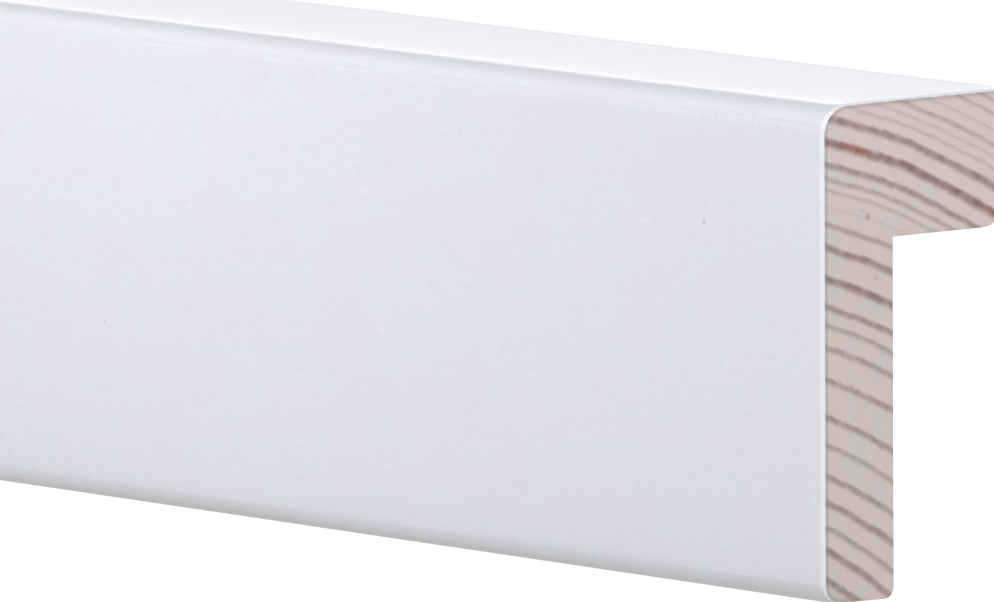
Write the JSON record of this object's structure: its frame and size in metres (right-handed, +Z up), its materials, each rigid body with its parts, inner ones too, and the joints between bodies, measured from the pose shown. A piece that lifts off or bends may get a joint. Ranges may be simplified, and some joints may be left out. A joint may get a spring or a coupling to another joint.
{
  "type": "edge moulding",
  "caption": "Straight timber edge moulding with an L-shaped section, a rounded front corner and a deep rebate, painted white outside and cut square to bare wood.",
  "frame": {"origin": "middle of the long leg's back face, which is fixed to the edge of the board", "axes": "+X along the moulding, -Y out of the painted front face, +Y into the board, +Z up towards the rounded top edge"},
  "size_m": [0.12, 0.021, 0.043],
  "materials": {
    "painted_pine": "white satin paint on the front, top, lip and foot, bare sawn pine on the two cut ends and in the rebate"
  },
  "bodies": {
    "root": {"edge_moulding": "painted_pine"}
  },
  "joints": []
}
